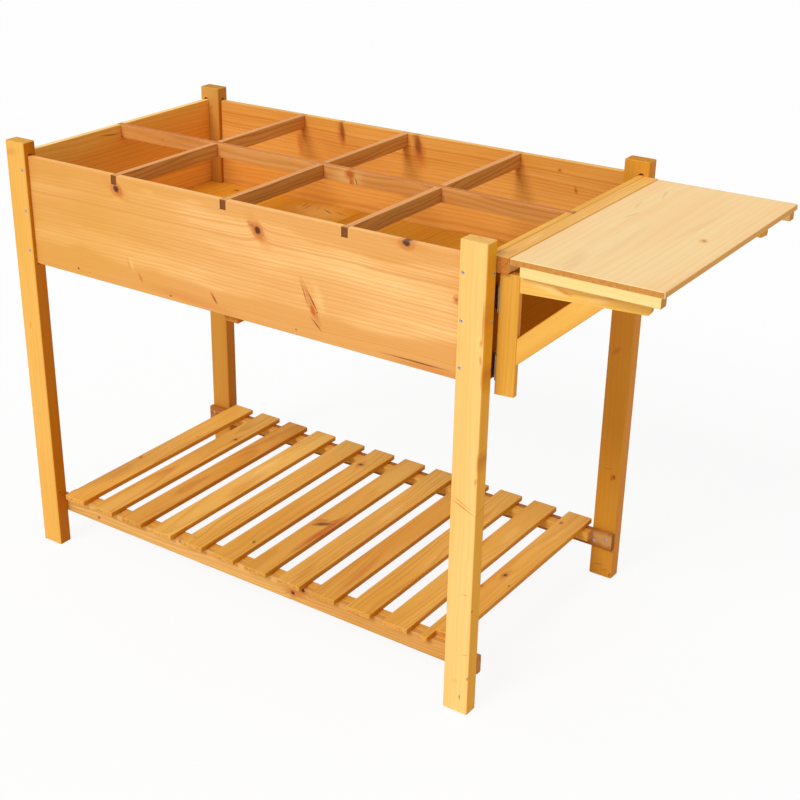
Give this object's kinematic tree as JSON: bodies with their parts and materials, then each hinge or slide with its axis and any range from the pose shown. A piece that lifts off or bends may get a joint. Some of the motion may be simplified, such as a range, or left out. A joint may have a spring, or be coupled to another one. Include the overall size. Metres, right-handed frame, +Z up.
{
  "type": "raised planter with folding table",
  "caption": "Raised wooden planter box on legs, divided into cells, with a slatted shelf below and a hinged side table on swinging gate brackets.",
  "frame": {"origin": "on the floor, in the middle of the box round the planter and its table", "axes": "+X along the planter's long side, towards the folding table; +Y from front to back; +Z up"},
  "size_m": [1.2592, 0.56, 0.82],
  "materials": {
    "post_wood": "oiled softwood, satin",
    "board_wood": "oiled softwood, satin",
    "divider_wood": "oiled softwood, satin",
    "floor_wood": "oiled softwood, satin",
    "shelf_wood": "oiled softwood, satin",
    "rail_wood": "oiled softwood, satin",
    "table_wood": "oiled softwood, satin",
    "batten_wood": "oiled softwood, satin",
    "bracket_wood": "oiled softwood, satin",
    "zinc_steel": "zinc plated"
  },
  "bodies": {
    "planter": {"board_back": "board_wood", "board_front": "board_wood", "board_hinge_leaves": "zinc_steel", "board_left": "board_wood", "board_right": "board_wood", "bracket_hinge_pins": "zinc_steel", "divider_cross_1": "divider_wood", "divider_cross_2": "divider_wood", "divider_cross_3": "divider_wood", "divider_long": "divider_wood", "floor_batten": "floor_wood", "floor_cleat_back": "floor_wood", "floor_cleat_front": "floor_wood", "floor_plank_1": "floor_wood", "floor_plank_2": "floor_wood", "floor_plank_3": "floor_wood", "floor_plank_4": "floor_wood", "floor_plank_5": "floor_wood", "frame_screws": "zinc_steel", "hinge_rail": "rail_wood", "planter_hinge_screws": "zinc_steel", "post_back_left": "post_wood", "post_back_right": "post_wood", "post_front_left": "post_wood", "post_front_right": "post_wood", "rail_hinge_leaves": "zinc_steel", "shelf_beam_back": "shelf_wood", "shelf_beam_front": "shelf_wood", "shelf_slat_1": "shelf_wood", "shelf_slat_10": "shelf_wood", "shelf_slat_11": "shelf_wood", "shelf_slat_12": "shelf_wood", "shelf_slat_2": "shelf_wood", "shelf_slat_3": "shelf_wood", "shelf_slat_4": "shelf_wood", "shelf_slat_5": "shelf_wood", "shelf_slat_6": "shelf_wood", "shelf_slat_7": "shelf_wood", "shelf_slat_8": "shelf_wood", "shelf_slat_9": "shelf_wood", "shelf_strip_back": "shelf_wood", "shelf_strip_front": "shelf_wood", "table_hinge_pins": "zinc_steel"},
    "table": {"table_batten_back": "batten_wood", "table_batten_front": "batten_wood", "table_hinge_leaves": "zinc_steel", "table_hinge_screws": "zinc_steel", "tabletop": "table_wood"},
    "bracket_front": {"bracket_front_arm": "bracket_wood", "bracket_front_brace": "bracket_wood", "bracket_front_hinge_leaves": "zinc_steel", "bracket_front_hinge_screws": "zinc_steel", "bracket_front_stile": "bracket_wood"},
    "bracket_back": {"bracket_back_arm": "bracket_wood", "bracket_back_brace": "bracket_wood", "bracket_back_hinge_leaves": "zinc_steel", "bracket_back_hinge_screws": "zinc_steel", "bracket_back_stile": "bracket_wood"}
  },
  "joints": [
    {"name": "table_hinge", "type": "hinge", "parent": "planter", "child": "table", "pos_m": [0.39108, 0, 0.7815], "axis": [0, -1, 0], "range_deg": [0, 5]},
    {"name": "bracket_front_hinge", "type": "hinge", "parent": "planter", "child": "bracket_front", "pos_m": [0.36675, -0.2335, 0.671], "axis": [0, 0, 1], "range_deg": [-7.5, 82.5]},
    {"name": "bracket_back_hinge", "type": "hinge", "parent": "planter", "child": "bracket_back", "pos_m": [0.36675, 0.2335, 0.671], "axis": [0, 0, -1], "range_deg": [-7.5, 82.5]}
  ]
}
